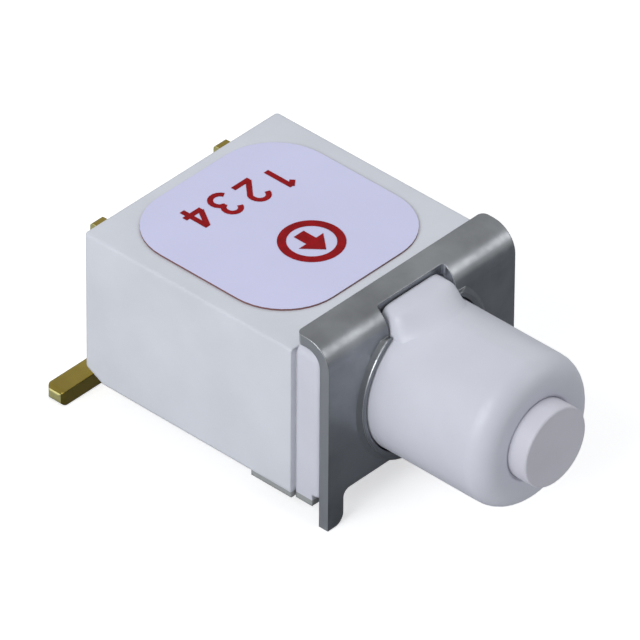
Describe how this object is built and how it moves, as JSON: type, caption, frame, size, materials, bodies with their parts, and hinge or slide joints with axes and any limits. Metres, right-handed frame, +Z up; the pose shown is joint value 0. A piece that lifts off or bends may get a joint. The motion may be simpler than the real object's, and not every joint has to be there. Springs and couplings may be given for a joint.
{
  "type": "pushbutton switch",
  "caption": "Right-angle surface-mount push button switch with a white moulded case, a round bushing, a bent steel support bracket and gold changeover leads.",
  "frame": {"origin": "on the circuit board's surface, under the middle of the part's length and width", "axes": "+X to the right as the button is faced, -Y the way the button points, +Z up from the board"},
  "size_m": [0.0098, 0.0162, 0.0064],
  "materials": {
    "white_moulding": "satin white moulding",
    "white_plunger": "satin white moulding",
    "grey_gasket": "matt light grey",
    "tinned_steel": "bright tinned sheet",
    "sticker": "smooth coated paper",
    "black_moulding": "matt black moulding",
    "seal_rubber": "matt black rubber",
    "spring_steel": "bright drawn wire",
    "contact_brass": "bright plated strip",
    "contact_silver": "satin silver",
    "gold_lead": "bright gold plate",
    "resin": "cast resin"
  },
  "bodies": {
    "body": {"case": "white_moulding", "front_housing": "white_moulding", "joint_gasket": "grey_gasket", "bracket": "tinned_steel", "label": "sticker", "return_spring": "spring_steel", "spring_washer": "spring_steel", "guide_plate": "black_moulding", "fixed_contact_left": "contact_silver", "fixed_contact_right": "contact_silver", "bias_spring": "spring_steel", "terminal_common": "gold_lead", "terminal_left": "gold_lead", "terminal_right": "gold_lead", "terminal_base": "black_moulding", "rear_seal": "resin"},
    "plunger": {"plunger": "white_plunger", "plunger_seal": "seal_rubber", "cross_pin": "spring_steel", "pusher": "black_moulding"},
    "rocker": {"rocker": "contact_brass", "rocker_contact_left": "contact_silver", "rocker_contact_right": "contact_silver"}
  },
  "joints": [
    {"name": "plunger_slide", "type": "slide", "parent": "body", "child": "plunger", "axis": [0, 1, 0], "range_m": [0, 0.0008], "stiffness_N_per_m": 1500, "springref_m": -0.0008, "deforming": ["return_spring"]},
    {"name": "rocker_tilt", "type": "hinge", "parent": "body", "child": "rocker", "pos_m": [0, 0.00248, 0.00348], "axis": [0, 0, 1], "range_deg": [0, 10], "deforming": ["bias_spring"]}
  ],
  "couplings": [
    {"joint": "rocker_tilt", "follows": "plunger_slide", "rad_per_m": 218.16}
  ]
}
